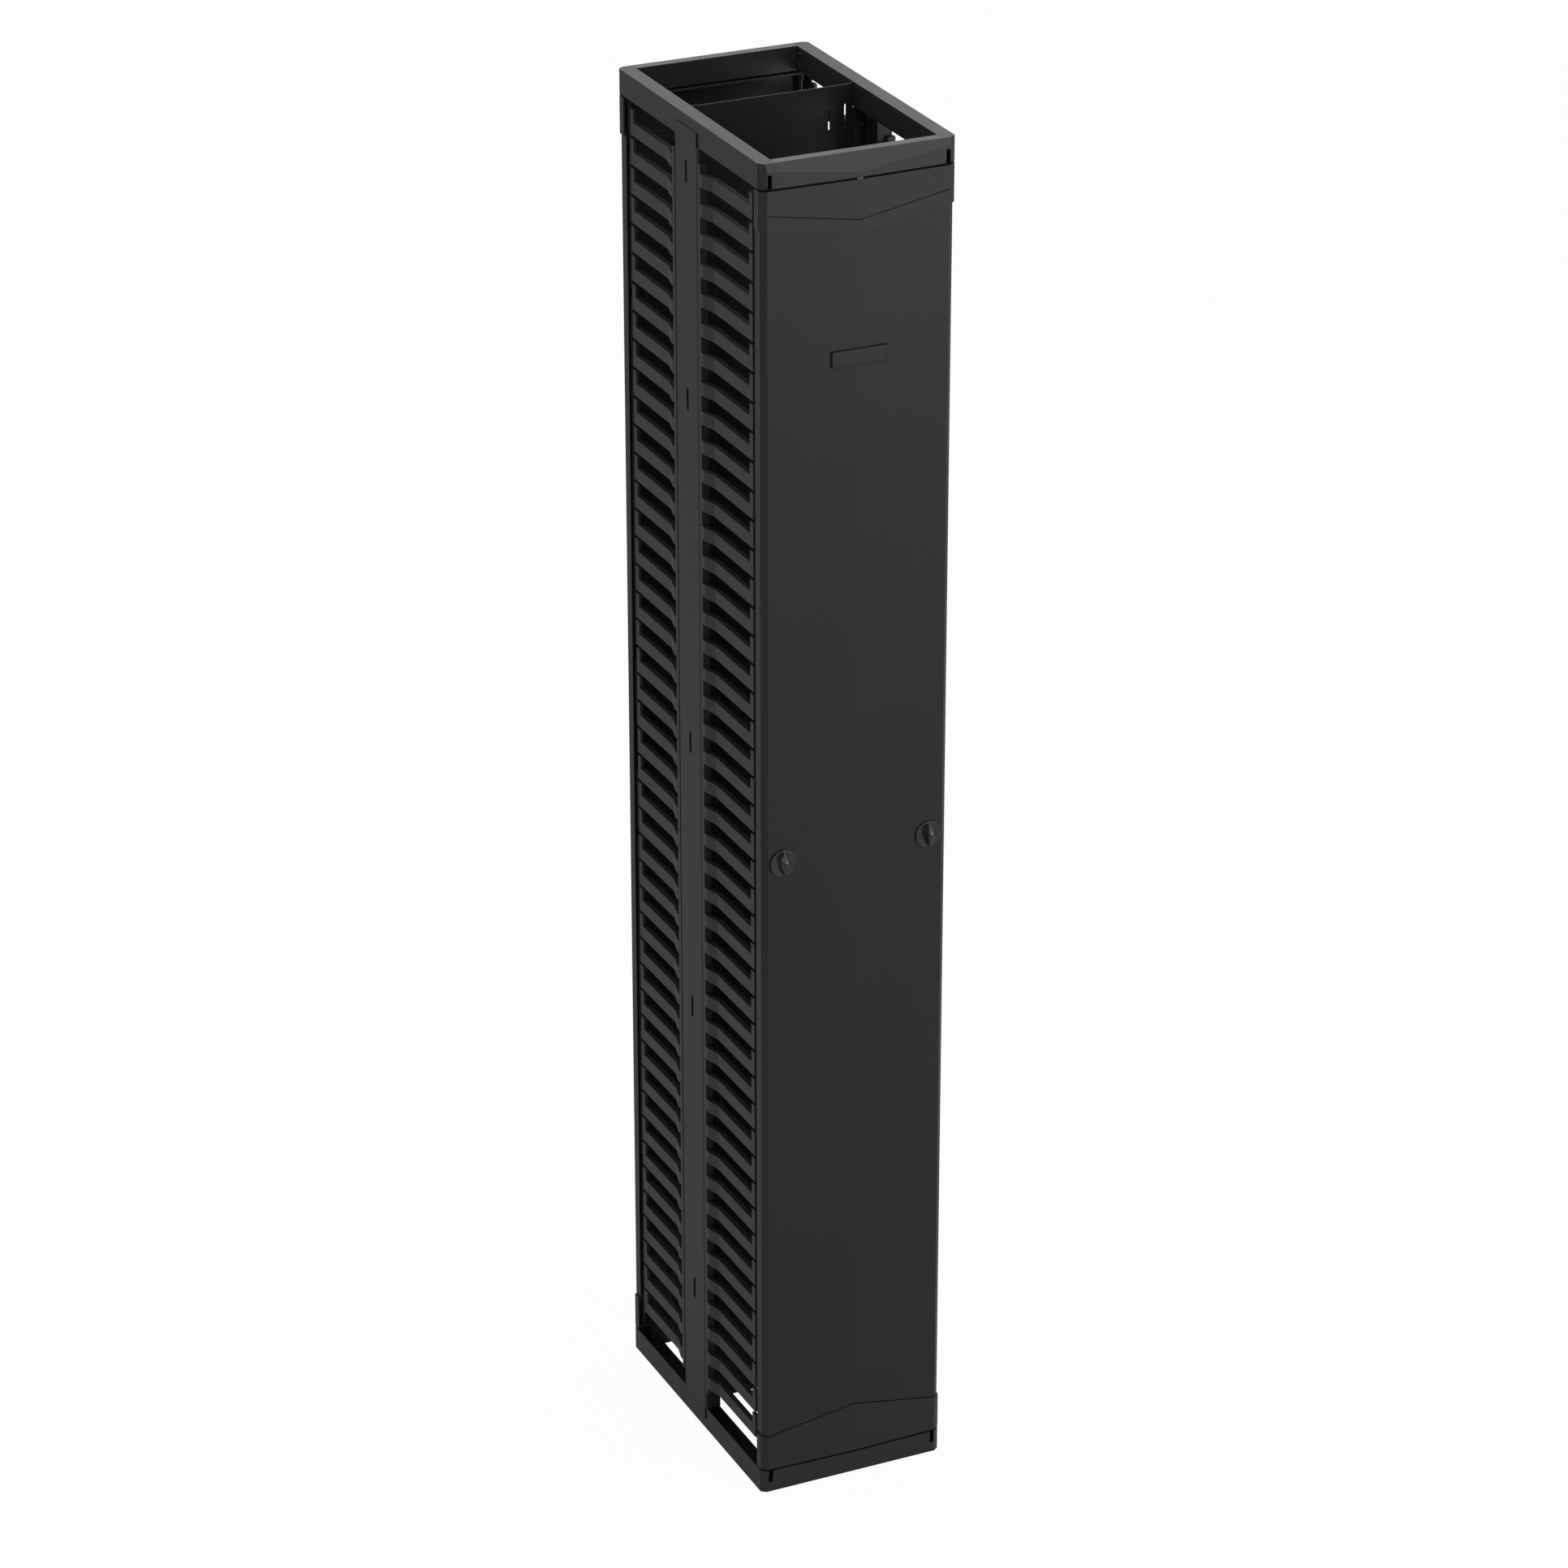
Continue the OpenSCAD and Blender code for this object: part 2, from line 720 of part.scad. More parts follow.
// Cap for the bottom of a door; the top cap is its mirror image
module door_cap(line_w, line_d) {
    v_lo = door_lo;
    difference() {
        union() {
            intersection() {
                difference() {
                    prow_slab(half_w, 0, side_end - cap_return, v_lo, v_lo + cap_mid_h);
                    prow_slab(half_w, cap_t, side_end - cap_return - cut, v_lo + cap_t, frame_h);
                }
                v_band(v_lo - cut, v_lo - cut, v_lo + cap_side_h, v_lo + cap_mid_h);
            }
            intersection() {
                difference() {
                    prow_slab(door_half, door_t + 0.2, side_end - cap_return, v_lo, frame_h);
                    prow_slab(door_half, door_t + 2.2, side_end - cap_return - cut, v_lo - cut, frame_h);
                }
                v_band(v_lo + cap_side_h - 3, v_lo + cap_mid_h - 3,
                       v_lo + cap_side_h + tongue_l, v_lo + cap_mid_h + tongue_l);
            }
            intersection() {
                difference() {
                    prow_slab(half_w, 0.5, side_end - cap_return, v_lo, frame_h);
                    prow_slab(door_half, door_t + 2.2, side_end - cap_return - cut, v_lo - cut, frame_h);
                }
                v_band(v_lo + cap_side_h - 3, v_lo + cap_mid_h - 3,
                       v_lo + cap_side_h, v_lo + cap_mid_h);
            }
            for (side = ["left", "right"])
                at_side(side)
                    translate([pin_x, -pin_y, v_lo + 0.01])
                        cylinder(h = 14, r = rod_r + 2.2);
            box([-stop_w / 2, -prow_y(stop_w / 2) + 0.2, v_lo - door_gap + seat],
                [stop_w / 2, -prow_y(0) + fascia_t, v_lo + 0.5]);
        }
        for (side = ["left", "right"])
            at_side(side)
                translate([pin_x, -pin_y, v_lo - cut])
                    cylinder(h = 20, r = rod_r + rod_gap);
        intersection() {
            difference() {
                prow_slab(half_w, -cut, side_end - cap_return - cut, v_lo, frame_h);
                prow_slab(half_w, line_d, side_end - cap_return - 2 * cut, v_lo - cut, frame_h + cut);
            }
            v_band(v_lo + groove_side_h, v_lo + groove_mid_h,
                   v_lo + groove_side_h + line_w, v_lo + groove_mid_h + line_w);
            box([-corner_x, -half_depth - cut, v_lo], [corner_x, -side_end, frame_h]);
        }
    }
}

module badge_plate() {
    z = door_hi - badge_drop;
    back = prow_y(0) + 0.05;
    color([0.05, 0.05, 0.05])
        box([-badge_w / 2, -back - badge_t, z - badge_h / 2], [badge_w / 2, -back, z + badge_h / 2]);
}

// Clips that guide the rods along the sides of a door
module rod_guides() {
    color([0.12, 0.12, 0.12])
        for (side = ["left", "right"], z = guide_heights())
            at_side(side)
                difference() {
                    intersection() {
                        prow_slab(door_half, door_t + 0.05, 0, z - 8, z + 8);
                        box([pin_x - 6.5, -half_depth, z - 8], [half_w, -pin_y + rod_r + 3, z + 8]);
                    }
                    translate([pin_x, -pin_y, z - 8 - cut])
                        cylinder(h = 16 + 2 * cut, r = rod_r + rod_gap);
                }
}

function guide_heights() =
    let (a = door_lo + guide_end, b = door_mid - guide_mid)
    [a, b, door_lo + door_hi - b, door_lo + door_hi - a];

module washers() {
    color("dimgray") {
        for (z = [window_lo + 0.1, window_hi - door_gap + 0.1])
            translate([pin_x, -pin_y, z])
                difference() {
                    cylinder(h = door_gap - 0.2, r = rod_r + 2.8);
                    translate([0, 0, -cut])
                        cylinder(h = door_gap + cut, r = rod_r + rod_gap);
                }
    }
}

// ---------- latch ----------

pressure_angle = 25;

// One involute tooth flank, from the base circle to the tip
function involute(rb, a) = [rb * (cos(a) + a * PI / 180 * sin(a)), rb * (sin(a) - a * PI / 180 * cos(a))];
function turn(p, a) = [p[0] * cos(a) - p[1] * sin(a), p[0] * sin(a) + p[1] * cos(a)];
function involute_roll(rb, r) = sqrt(max(0, (r / rb) * (r / rb) - 1)) * 180 / PI;

module pinion_plan() {
    rb = pinion_r * cos(pressure_angle);
    r_tip = pinion_r + tip_add;
    r_root = pinion_r - root_ded;
    roll_p = involute_roll(rb, pinion_r);
    angle_p = roll_p - pressure_angle;
    half_tooth = 90 / pinion_teeth - gear_play / 2 / pinion_r * 180 / PI / 2;
    steps = 6;
    flank = [for (k = [0:steps])
        let (r = max(rb, r_root) + (r_tip - max(rb, r_root)) * k / steps)
        turn(involute(rb, involute_roll(rb, r)), -(half_tooth + angle_p))];
    root = turn([r_root, 0], -(half_tooth + angle_p));
    tooth = concat([[0, 0], root], flank,
                   [for (k = [steps:-1:0]) [flank[k][0], -flank[k][1]]], [[root[0], -root[1]]]);
    circle(r_root);
    for (k = [0:pinion_teeth - 1])
        rotate(k * 360 / pinion_teeth)
            polygon(tooth);
}

// Toothed edge of a rack along +Y, teeth towards -X, pitch line on x = 0
module rack_teeth(n_lo, n_hi) {
    p = PI * module_mm;
    half_p = p / 4 - gear_play / 4;
    lean = tan(pressure_angle);
    for (k = [n_lo:n_hi])
        translate([0, (k + 0.5) * p])
            polygon([[-tip_add, -half_p + tip_add * lean], [-tip_add, half_p - tip_add * lean],
                     [root_ded + 0.01, half_p + root_ded * lean], [root_ded + 0.01, -half_p - root_ded * lean]]);
}

rack_lo = 2;
rack_hi = 4;
function rack_pitch() = PI * module_mm;
function arm_z() = (rack_lo + 0.5) * rack_pitch() + 2 * rod_travel + 3;

// Upper rod of the right latch: pin, round rod and outer rack
module upper_rod() {
    tip = window_hi + pin_slot_h + bite;
    foot_top = (rack_hi + 1.5) * rack_pitch();
    color("silver") {
        translate([pin_x, -pin_y, door_mid + foot_top - 8])
            cylinder(h = tip - 2 - door_mid - foot_top + 8, r = rod_r);
        translate([pin_x, -pin_y, tip - 2])
            cylinder(h = 2, r1 = rod_r, r2 = rod_r - 1.2);
        translate([0, -gear_y + gear_t / 2, door_mid])
            rotate([90, 0, 0])
                linear_extrude(gear_t) {
                    translate([knob_x + pinion_r, 0]) {
                        rack_teeth(-rack_lo, rack_hi);
                        translate([root_ded, -(rack_lo) * rack_pitch() + 0.5])
                            square([pin_x + rod_r - knob_x - pinion_r - root_ded,
                                    foot_top + rack_lo * rack_pitch() - 0.5]);
                    }
                }
    }
}

// Lower rod of the right latch: inner rack, arm under the pinion, rod and pin
module lower_rod() {
    tip = window_lo - pin_slot_h - bite;
    arm_top = -arm_z() + rack_pitch();
    color("silver") {
        translate([pin_x, -pin_y, tip + 2])
            cylinder(h = door_mid + arm_top - 4 - tip - 2, r = rod_r);
        translate([pin_x, -pin_y, tip])
            cylinder(h = 2, r1 = rod_r - 1.2, r2 = rod_r);
        translate([0, -gear_y + gear_t / 2, door_mid])
            rotate([90, 0, 0])
                linear_extrude(gear_t) {
                    translate([knob_x - pinion_r, 0]) {
                        rotate(180)
                            rack_teeth(-rack_lo, rack_hi);
                        translate([-root_ded - 6, arm_top - 10])
                            square([6, (rack_lo) * rack_pitch() - 0.5 - arm_top + 10]);
                    }
                    translate([knob_x - pinion_r - root_ded - 6, arm_top - 10])
                        square([pin_x + rod_r - knob_x + pinion_r + root_ded + 6, 10]);
                }
    }
}

module pinion() {
    color("silver") {
        translate([knob_x, -gear_y + gear_t / 2, door_mid])
            rotate([90, 0, 0])
                difference() {
                    union() {
                        linear_extrude(gear_t)
                            pinion_plan();
                        translate([0, 0, -2 - door_t])
                            cylinder(h = 2.1 + door_t, r = 3);
                    }
                    translate([-2.05, -2.05, 1])
                        cube([4.1, 4.1, gear_t]);
                }
    }
}

// Knob: shaft, disc and a lens-shaped grip with a rounded crown
module knob() {
    back = prow_y(knob_x - knob_r) + seat;
    color([0.2, 0.2, 0.2]) {
        translate([knob_x, -back, door_mid])
            rotate([90, 0, 0]) {
                cylinder(h = knob_disc_t - 0.8, r = knob_r, $fn = 72);
                translate([0, 0, knob_disc_t - 0.8])
                    cylinder(h = 0.8, r1 = knob_r, r2 = knob_r - 0.8, $fn = 72);
                grip();
                translate([0, 0, -(back - gear_y - gear_t / 2 - 0.1)])
                    cylinder(h = back - gear_y - gear_t / 2, r = shaft_r);
                translate([-2, -2, -(back - gear_y - gear_t / 2 - 0.1) - gear_t + 1.3])
                    cube([4, 4, gear_t]);
            }
    }
}

// Tapering grip with leaning, bowed sides and an arched crest of even width
module grip() {
    l = knob_r - 1.6;
    lean = atan((grip_w - grip_crest) / 2 / grip_h);
    r_side = l * l / (grip_w - grip_crest);
    r_crown = (l * l + grip_h * grip_h) / (2 * grip_h);
    intersection() {
        translate([grip_w / 2, 0, knob_disc_t])
            rotate([0, -lean, 0])
                translate([-r_side, 0, -r_side])
                    cylinder(h = 3 * r_side, r = r_side, $fn = 180);
        translate([-grip_w / 2, 0, knob_disc_t])
            rotate([0, lean, 0])
                translate([r_side, 0, -r_side])
                    cylinder(h = 3 * r_side, r = r_side, $fn = 180);
        translate([-grip_w, 0, knob_disc_t + grip_h - r_crown])
            rotate([0, 90, 0])
                cylinder(h = 2 * grip_w, r = r_crown, $fn = 180);
        box([-grip_w, -knob_r, knob_disc_t - 1], [grip_w, knob_r, knob_disc_t + grip_h]);
    }
}

// Bracket behind the door skin that carries the pinion and guides the racks
module latch_body() {
    x0 = knob_x - pinion_r - root_ded - 6 - 2.3;
    x1 = pin_x + rod_r + 0.3;
    back = gear_y - max(gear_t / 2, rod_r) - 0.3;
    z0 = -arm_z() + rack_pitch() - 14;
    z1 = (rack_hi + 1.5) * rack_pitch() + 4;
    color([0.12, 0.12, 0.12]) {
        difference() {
            intersection() {
                box([x0, -half_depth, door_mid + z0], [x1 + 2, -back + 2, door_mid + z1]);
                prow_slab(door_half, door_t + 0.05, 0, door_lo, door_hi);
            }
            box([x0 + 2, -half_depth, door_mid + z0 - cut], [x1, -back, door_mid + z1 + cut]);
            translate([knob_x, -back - cut, door_mid])
                rotate([-90, 0, 0])
                    cylinder(h = 2 + 2 * cut, r = 3 + rod_gap);
        }
    }
}

module bottom_cap() {
    color([0.15, 0.15, 0.16])
        door_cap(low_groove_w, low_groove_d);
}

module top_cap() {
    color([0.15, 0.15, 0.16])
        at_top()
            door_cap(groove_w, groove_d);
}

// Sides are those of the whole frame, so the turned rear door swaps its hands
module on_door(end, side) {
    at_end(end)
        at_side((side == "left") == (end == "front") ? "left" : "right")
            children();
}

// ---------- nodes ----------

module painted() {
    color([0.22, 0.22, 0.23])
        children();
}

module moulded() {
    color([0.24, 0.24, 0.25])
        children();
}

painted() at_side("left") top_beam();  // top_left_beam
painted() top_beam();  // top_right_beam
painted() at_side("left") base_beam();  // base_left_beam
painted() base_beam();  // base_right_beam
painted() top_fascia();  // top_front_fascia
painted() at_end("rear") top_fascia();  // top_rear_fascia
painted() base_fascia();  // base_front_fascia
painted() at_end("rear") base_fascia();  // base_rear_fascia
painted() at_side("left") post();  // left_post
painted() post();  // right_post
centre_panel();
moulded() in_row("left", "front") finger_rail();  // left_front_finger_rail
moulded() in_row("left", "front") finger_row();  // left_front_fingers
moulded() in_row("left", "rear") finger_rail();  // left_rear_finger_rail
moulded() in_row("left", "rear") finger_row();  // left_rear_fingers
moulded() in_row("right", "front") finger_rail();  // right_front_finger_rail
moulded() in_row("right", "front") finger_row();  // right_front_fingers
moulded() in_row("right", "rear") finger_rail();  // right_rear_finger_rail
moulded() in_row("right", "rear") finger_row();  // right_rear_fingers
color([0.1, 0.1, 0.1]) at_top() pin_sockets();  // top_pin_sockets
color([0.1, 0.1, 0.1]) pin_sockets();  // base_pin_sockets
fascia_screws();
panel_screws();
rail_screws();
badge_plate();  // front_badge_plate
at_end("front") door_panel();  // front_door_panel
at_end("front") top_cap();  // front_door_top_cap
at_end("front") bottom_cap();  // front_door_bottom_cap
at_end("front") rod_guides();  // front_rod_guides
on_door("front", "left") washers();  // front_left_washers
on_door("front", "right") washers();  // front_right_washers
on_door("front", "left") knob();  // front_left_knob
on_door("front", "left") pinion();  // front_left_pinion
on_door("front", "left") latch_body();  // front_left_latch_body
on_door("front", "left") upper_rod();  // front_left_upper_rod
on_door("front", "left") lower_rod();  // front_left_lower_rod
on_door("front", "right") knob();  // front_right_knob
on_door("front", "right") pinion();  // front_right_pinion
on_door("front", "right") latch_body();  // front_right_latch_body
on_door("front", "right") upper_rod();  // front_right_upper_rod
on_door("front", "right") lower_rod();  // front_right_lower_rod
at_end("rear") door_panel();  // rear_door_panel
at_end("rear") top_cap();  // rear_door_top_cap
at_end("rear") bottom_cap();  // rear_door_bottom_cap
at_end("rear") rod_guides();  // rear_rod_guides
on_door("rear", "left") washers();  // rear_left_washers
on_door("rear", "right") washers();  // rear_right_washers
on_door("rear", "left") knob();  // rear_left_knob
on_door("rear", "left") pinion();  // rear_left_pinion
on_door("rear", "left") latch_body();  // rear_left_latch_body
on_door("rear", "left") upper_rod();  // rear_left_upper_rod
on_door("rear", "left") lower_rod();  // rear_left_lower_rod
on_door("rear", "right") knob();  // rear_right_knob
on_door("rear", "right") pinion();  // rear_right_pinion
on_door("rear", "right") latch_body();  // rear_right_latch_body
on_door("rear", "right") upper_rod();  // rear_right_upper_rod
on_door("rear", "right") lower_rod();  // rear_right_lower_rod
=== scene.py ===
import math

import bmesh
import bpy
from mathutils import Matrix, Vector
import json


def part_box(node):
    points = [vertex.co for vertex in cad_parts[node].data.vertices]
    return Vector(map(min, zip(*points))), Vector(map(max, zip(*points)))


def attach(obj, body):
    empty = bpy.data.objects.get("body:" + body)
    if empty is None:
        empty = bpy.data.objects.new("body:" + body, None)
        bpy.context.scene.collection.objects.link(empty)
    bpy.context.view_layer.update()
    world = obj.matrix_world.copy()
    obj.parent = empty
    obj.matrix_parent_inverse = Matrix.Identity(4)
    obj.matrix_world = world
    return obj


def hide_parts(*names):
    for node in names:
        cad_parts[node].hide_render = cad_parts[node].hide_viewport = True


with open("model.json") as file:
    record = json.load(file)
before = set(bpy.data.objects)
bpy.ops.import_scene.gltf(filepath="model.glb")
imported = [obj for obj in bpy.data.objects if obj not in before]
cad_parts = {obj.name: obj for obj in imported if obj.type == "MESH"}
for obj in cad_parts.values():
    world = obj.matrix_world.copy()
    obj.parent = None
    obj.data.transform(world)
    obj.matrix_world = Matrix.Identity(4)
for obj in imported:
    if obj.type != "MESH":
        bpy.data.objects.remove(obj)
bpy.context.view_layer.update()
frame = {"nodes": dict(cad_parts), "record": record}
NODES = frame["nodes"]
MM = 0.001


# ---------- node trees ----------

WHITE = (1.0, 1.0, 1.0, 1.0)
MIX_FIRST, MIX_SECOND, MIX_RESULT = 6, 7, 2  # colour sockets of a Mix node


class Amount:
    """A value on its way through a node tree: arithmetic on it adds Math nodes."""

    def __init__(self, nodes, socket):
        self.nodes = nodes
        self.socket = socket

    def _math(self, operation, first, second):
        node = self.nodes.node("ShaderNodeMath", {"operation": operation}, {0: first, 1: second})
        return Amount(self.nodes, node.outputs[0])

    def __add__(self, other):
        return self._math("ADD", self, other)

    def __radd__(self, other):
        return self._math("ADD", other, self)

    def __rmul__(self, other):
        return self._math("MULTIPLY", other, self)

    def at_least(self, other):
        return self._math("MAXIMUM", self, other)


class Nodes:
    """A node tree that is written one node at a time."""

    def __init__(self, tree):
        self.tree = tree

    def node(self, kind, settings=None, inputs=None):
        node = self.tree.nodes.new(kind)
        for key, value in (settings or {}).items():
            setattr(node, key, value)
        for key, value in (inputs or {}).items():
            self.feed(node.inputs[key], value)
        return node

    def feed(self, socket, value):
        if isinstance(value, Amount):
            value = value.socket
        if isinstance(value, bpy.types.NodeSocket):
            self.tree.links.new(value, socket)
        else:
            socket.default_value = value

    def rays(self, kind):
        """1 for rays of one kind, 0 for all others."""
        return Amount(self, self.node("ShaderNodeLightPath").outputs[kind])

    def blend(self, share, first, second):
        """Goes from the first shader to the second as the share grows."""
        inputs = {0: share, 1: first.outputs[0], 2: second.outputs[0]}
        return self.node("ShaderNodeMixShader", None, inputs).outputs[0]


# ---------- camera, floor and light ----------

def place_camera():
    tilt, turn = 65.18, -25.0
    data = bpy.data.cameras.new("view")
    data.lens = 126.3
    data.sensor_width = 36.0
    data.clip_end = 60.0
    cam = bpy.data.objects.new("view", data)
    cam.location = (-3.1546, -6.7651, 4.5152)
    cam.rotation_euler = (math.radians(tilt), 0.0, math.radians(turn))
    bpy.context.scene.collection.objects.link(cam)
    bpy.context.scene.camera = cam


def soft_box(name, place, aim, size, power):
    data = bpy.data.lights.new(name, "AREA")
    data.shape = "RECTANGLE"
    data.size, data.size_y = size
    data.energy = power
    lamp = bpy.data.objects.new(name, data)
    lamp.location = place
    lamp.rotation_euler = (Vector(aim) - Vector(place)).to_track_quat("-Z", "Y").to_euler()
    bpy.context.scene.collection.objects.link(lamp)


def light_studio():
    """A pale room that looks white to the camera and in reflections, and four soft boxes."""
    room_light = 0.45
    scene = bpy.context.scene
    scene.view_settings.view_transform = "Standard"
    world = bpy.data.worlds.new("studio")
    scene.world = world
    world.use_nodes = True
    nodes = Nodes(world.node_tree)
    nodes.tree.nodes.clear()
    room = nodes.node("ShaderNodeBackground", None, {"Color": WHITE, "Strength": room_light})
    white = nodes.node("ShaderNodeBackground", None, {"Color": WHITE, "Strength": 1.0})
    seen = nodes.rays("Is Camera Ray").at_least(nodes.rays("Is Glossy Ray"))
    nodes.node("ShaderNodeOutputWorld", None, {"Surface": nodes.blend(seen, room, white)})
    soft_box("overhead", (0.3, -0.6, 4.8), aim=(0.0, 0.0, 1.4), size=(3.0, 3.0), power=26.0)
    soft_box("back_high", (1.9, 4.1, 4.2), aim=(0.0, 0.0, 2.1), size=(3.0, 2.2), power=9.0)
    soft_box("front_right", (2.6, -4.4, 1.5), aim=(0.0, 0.0, 1.4), size=(2.4, 1.4), power=42.0)
    soft_box("front_low", (1.5, -3.7, 1.3), aim=(0.0, 0.0, 1.0), size=(0.5, 1.3), power=5.5)


def lay_floor():
    """A floor that glows for the camera, a little in reflections, and is else pale paint."""
    side, drop = 60.0, 0.4 * MM
    seen_glow, mirrored_glow = 0.97, 0.15
    bpy.ops.object.select_all(action="DESELECT")
    bpy.ops.mesh.primitive_plane_add(size=side, location=(0.0, 0.0, -drop))
    floor = bpy.context.object
    floor.name = "studio_floor"
    material = bpy.data.materials.new("pale floor")
    material.use_nodes = True
    nodes = Nodes(material.node_tree)
    nodes.tree.nodes.clear()
    paint = nodes.node("ShaderNodeBsdfDiffuse", None, {"Color": (0.6, 0.6, 0.6, 1.0)})
    glow = nodes.node("ShaderNodeEmission", None, {"Color": WHITE})
    seen = seen_glow * nodes.rays("Is Camera Ray")
    share = seen.at_least(mirrored_glow * nodes.rays("Is Glossy Ray"))
    nodes.node("ShaderNodeOutputMaterial", None, {"Surface": nodes.blend(share, paint, glow)})
    floor.data.materials.append(material)


# ---------- finishes ----------

class Finish(Nodes):
    """One finish: a Principled surface and the nodes that feed it."""

    def __init__(self, name):
        self.material = bpy.data.materials.new(name)
        self.material.use_nodes = True
        super().__init__(self.material.node_tree)
        self.surface = self.tree.nodes["Principled BSDF"]
        self.place = self.node("ShaderNodeTexCoord").outputs["Object"]

    def noise(self, scale, detail=3.0, stretch=None):
        place = self.place
        if stretch:
            mapping = self.node("ShaderNodeMapping", None, {"Vector": place, "Scale": stretch})
            place = mapping.outputs[0]
        inputs = {"Vector": place, "Scale": scale, "Detail": detail}
        return Amount(self, self.node("ShaderNodeTexNoise", None, inputs).outputs["Fac"])

    def tint(self, share, dark, light):
        """A colour between two. The first may also be a socket."""
        if not isinstance(dark, bpy.types.NodeSocket):
            dark = (*dark, 1.0)
        inputs = {0: share, MIX_FIRST: dark, MIX_SECOND: (*light, 1.0)}
        return self.node("ShaderNodeMix", {"data_type": "RGBA"}, inputs).outputs[MIX_RESULT]

    def upward(self):
        """Goes from 0 on side and lower faces to 1 on faces that look straight up."""
        normal = self.node("ShaderNodeTexCoord").outputs["Normal"]
        height = self.node("ShaderNodeSeparateXYZ", None, {0: normal}).outputs["Z"]
        return Amount(self, height).at_least(0.0)

    def rounded(self, radius):
        """Edges that catch the light as if they had this radius."""
        return self.node("ShaderNodeBevel", {"samples": 4}, {"Radius": radius}).outputs[0]

    def bump(self, height, strength, depth, under=None):
        inputs = {"Height": height, "Strength": strength, "Distance": depth}
        if under is not None:
            inputs["Normal"] = under
        return self.node("ShaderNodeBump", None, inputs).outputs[0]

    def finish(self, **inputs):
        for key, value in inputs.items():
            self.feed(self.surface.inputs[key.replace("_", " ")], value)
        return self.material


SOFT_SHEEN, RUBBER_SHEEN = 0.22, 0.08  # Specular IOR Level
GRAIN_SCALE = 1300.0


def powder_coat(name, dark, light, rough=0.36):
    """Sprayed and baked powder: a fine orange peel with slow changes of tone."""
    f = Finish(name)
    cloud = f.noise(scale=3.5, detail=2.0)
    speck = f.noise(scale=900.0, detail=2.0)
    peel = f.noise(scale=420.0, detail=2.0)
    grain = f.noise(scale=1500.0, detail=1.0)
    edge = f.rounded(0.9 * MM)
    return f.finish(
        Base_Color=f.tint(0.7 * cloud + 0.3 * speck, dark, light),
        Roughness=rough - 0.05 + 0.1 * cloud + 0.04 * speck,
        Normal=f.bump(0.75 * peel + 0.25 * grain, strength=0.22, depth=0.05 * MM, under=edge),
        Specular_IOR_Level=SOFT_SHEEN,
    )


def moulding(name, dark, light, rough):
    """Injection-moulded plastic with a fine spark-eroded grain."""
    f = Finish(name)
    cloud = f.noise(scale=6.0, detail=2.0)
    grain = f.noise(scale=GRAIN_SCALE, detail=2.0)
    edge = f.rounded(0.6 * MM)
    return f.finish(
        Base_Color=f.tint(0.8 * cloud + 0.2 * grain, dark, light),
        Roughness=rough - 0.04 + 0.08 * cloud + 0.05 * grain,
        Normal=f.bump(grain, strength=0.3, depth=0.04 * MM, under=edge),
        Specular_IOR_Level=SOFT_SHEEN,
    )


def finger_moulding(name, shaded_top_colour, dark, light):
    """Moulded fingers with a fine grain; the faces that look up get painted shade, a darker colour
    for the shadow of the fingers above, and a duller roughness.
    """
    f = Finish(name)
    cloud = f.noise(scale=6.0, detail=2.0)
    grain = f.noise(scale=GRAIN_SCALE, detail=2.0)
    shaded_top_share = f.upward()
    fronts = f.tint(0.8 * cloud + 0.2 * grain, dark, light)
    edge = f.rounded(0.6 * MM)
    return f.finish(
        # Painted shade: the faces that look up take the darker colour, for the shadow of the
        # fingers above.
        Base_Color=f.tint(shaded_top_share, fronts, shaded_top_colour),
        Roughness=0.36 + 0.08 * cloud + 0.05 * grain + 0.3 * shaded_top_share,
        Normal=f.bump(grain, strength=0.3, depth=0.04 * MM, under=edge),
        Specular_IOR_Level=SOFT_SHEEN,
    )


def polished_moulding(name, dark, light):
    """Smooth moulded knobs with a clear shine and faint handling marks."""
    f = Finish(name)
    cloud = f.noise(scale=40.0)
    rub = f.noise(scale=220.0, detail=4.0, stretch=(1.0, 1.0, 0.2))
    return f.finish(
        Base_Color=f.tint(cloud, dark, light),
        Roughness=0.17 + 0.1 * rub,
        Normal=f.bump(rub, strength=0.05, depth=0.02 * MM),
        Coat_Weight=0.6 + 0.15 * cloud,
        Coat_Roughness=0.1,
        Coat_IOR=1.6,
        Specular_IOR_Level=SOFT_SHEEN,
    )


def black_zinc(name):
    """Zinc plate with a black passivation, streaked along Z as the rods are drawn."""
    f = Finish(name)
    streak = f.noise(scale=900.0, stretch=(1.0, 1.0, 0.03))
    cloud = f.noise(scale=25.0)
    edge = f.rounded(0.4 * MM)
    return f.finish(
        Base_Color=f.tint(0.6 * streak + 0.4 * cloud, (0.06, 0.06, 0.059), (0.11, 0.109, 0.106)),
        Metallic=1.0,
        Roughness=0.34 + 0.16 * streak,
        Normal=f.bump(streak, strength=0.12, depth=0.02 * MM, under=edge),
    )


def gap_shade_rubber(name):
    """Dull near-black rubber with a slight bloom and fine pores; where it fills gaps and slits, its
    black is painted shade.
    """
    f = Finish(name)
    bloom = f.noise(scale=60.0)
    pore = f.noise(scale=2200.0, detail=2.0)
    return f.finish(
        Base_Color=f.tint(bloom, (0.002, 0.002, 0.002), (0.005, 0.005, 0.005)),
        Roughness=0.75 + 0.15 * bloom,
        Normal=f.bump(pore, strength=0.3, depth=0.05 * MM),
        Specular_IOR_Level=RUBBER_SHEEN,
    )


def black_oxide(name):
    """Blackened screw steel, cloudy and half metallic."""
    f = Finish(name)
    cloud = f.noise(scale=300.0)
    edge = f.rounded(0.3 * MM)
    return f.finish(
        Base_Color=f.tint(cloud, (0.012, 0.012, 0.012), (0.03, 0.03, 0.03)),
        Metallic=0.6,
        Roughness=0.3 + 0.2 * cloud,
        Normal=f.bump(cloud, strength=0.1, depth=0.02 * MM, under=edge),
    )


